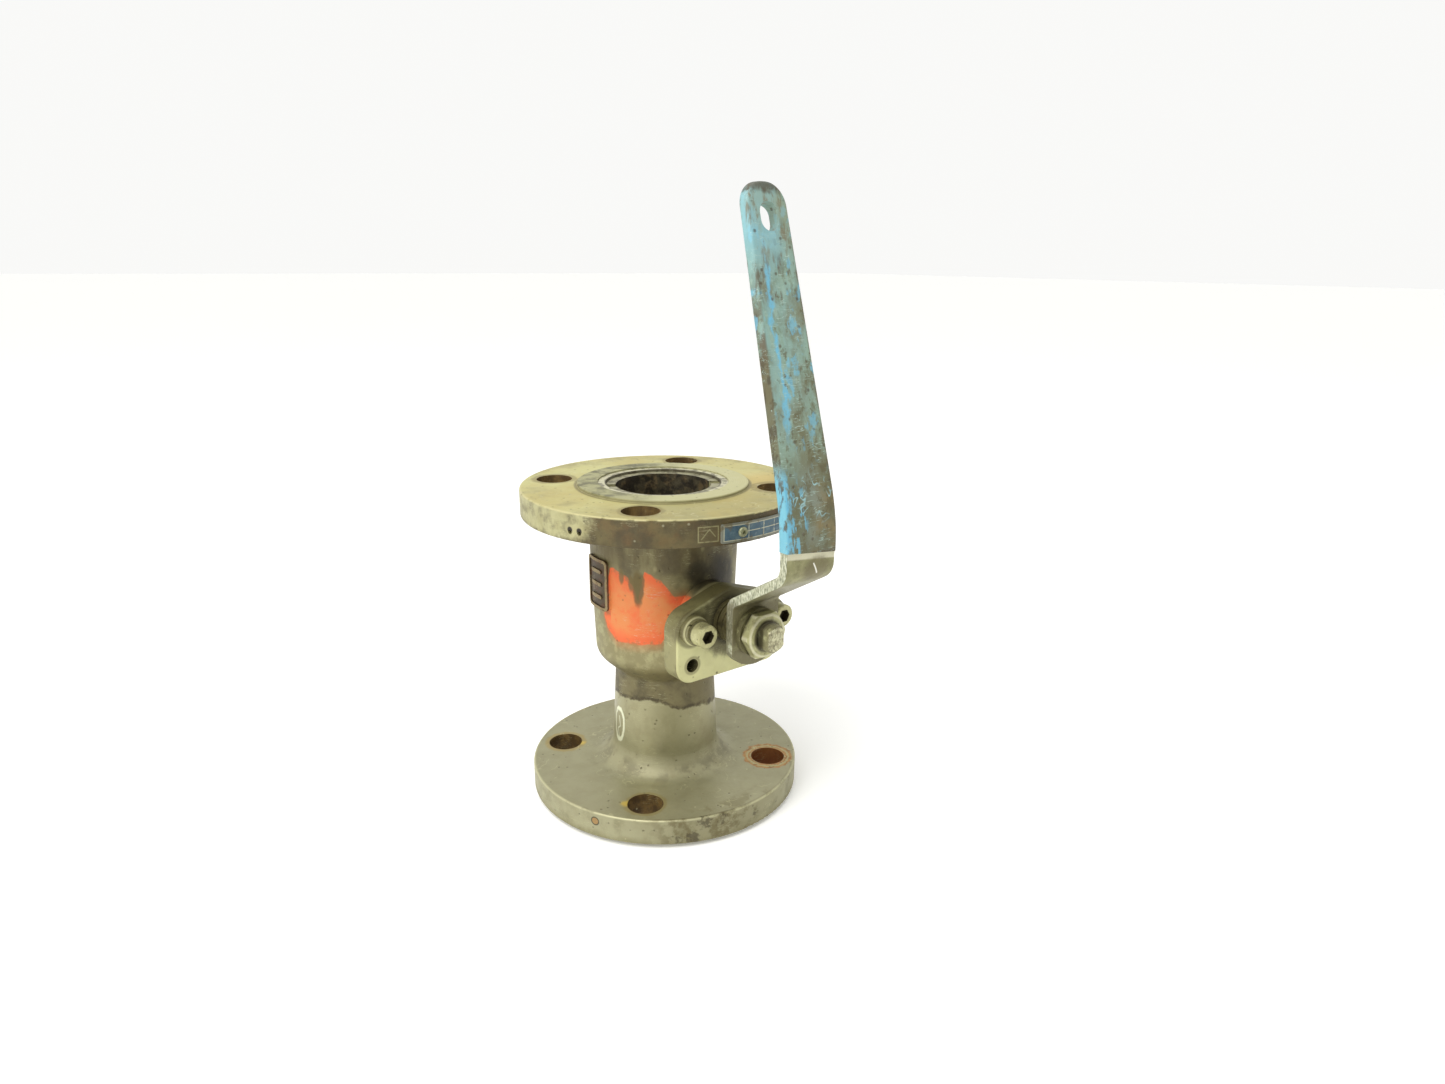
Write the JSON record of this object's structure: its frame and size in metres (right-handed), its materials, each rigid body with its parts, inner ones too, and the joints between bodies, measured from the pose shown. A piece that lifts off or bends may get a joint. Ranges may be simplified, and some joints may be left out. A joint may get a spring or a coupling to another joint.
{
  "type": "ball valve",
  "caption": "Flanged quarter-turn ball valve with a cast body, end insert, floating ball, stem and packing, and a bent flat lever with a dipped grip.",
  "frame": {"origin": "centre of the lower flange's raised face, on the axis of the lower port, where the valve stands", "axes": "+Z along the pipe axis from the lower flange to the insert flange, -Y out along the stem towards the operator, +X to the right seen from the stem side"},
  "size_m": [0.1524, 0.1937, 0.3236],
  "materials": {
    "cast_body": "weathered steel casting, matt, stained, with worn edges and an orange paint patch",
    "insert_steel": "machined steel, weathered",
    "white_seal": "fluoropolymer, satin",
    "gland_steel": "dark weathered steel",
    "screw_steel": "weathered stainless steel",
    "nut_steel": "weathered stainless steel",
    "stem_steel": "machined stainless steel, weathered",
    "lever_steel": "bent steel bar, weathered plating",
    "blue_vinyl": "faded blue dipped vinyl, grimy and worn",
    "tag_metal": "printed tag, worn blue with pale lines",
    "drive_screw_metal": "dull plated steel",
    "polished_ball": "polished stainless steel"
  },
  "bodies": {
    "housing": {"valve_body": "cast_body", "body_insert": "insert_steel", "insert_seal": "white_seal", "seat_ring_lower": "white_seal", "seat_ring_upper": "white_seal", "stem_thrust_washer": "white_seal", "packing_ring_inner": "white_seal", "packing_ring_middle": "white_seal", "packing_ring_outer": "white_seal", "compression_ring": "gland_steel", "stop_screw_left": "screw_steel", "stop_screw_right": "screw_steel", "stop_screw_washer_left": "screw_steel", "stop_screw_washer_right": "screw_steel", "nameplate": "tag_metal", "nameplate_drive_screws": "drive_screw_metal"},
    "lever_and_stem": {"stem": "stem_steel", "disc_spring_inner": "gland_steel", "disc_spring_outer": "gland_steel", "stop_plate": "gland_steel", "lever": "lever_steel", "lever_grip": "blue_vinyl", "lever_lock_washer": "nut_steel", "stem_nut": "nut_steel"},
    "flow_ball": {"ball": "polished_ball"}
  },
  "joints": [
    {"name": "lever_turn", "type": "hinge", "parent": "housing", "child": "lever_and_stem", "pos_m": [0, 0, 0.1165], "axis": [0, 1, 0], "range_deg": [0, 90]},
    {"name": "ball_turn", "type": "hinge", "parent": "housing", "child": "flow_ball", "pos_m": [0, 0, 0.1165], "axis": [0, 1, 0], "range_deg": [0, 90]}
  ],
  "couplings": [
    {"joint": "ball_turn", "follows": "lever_turn", "ratio": 1}
  ]
}
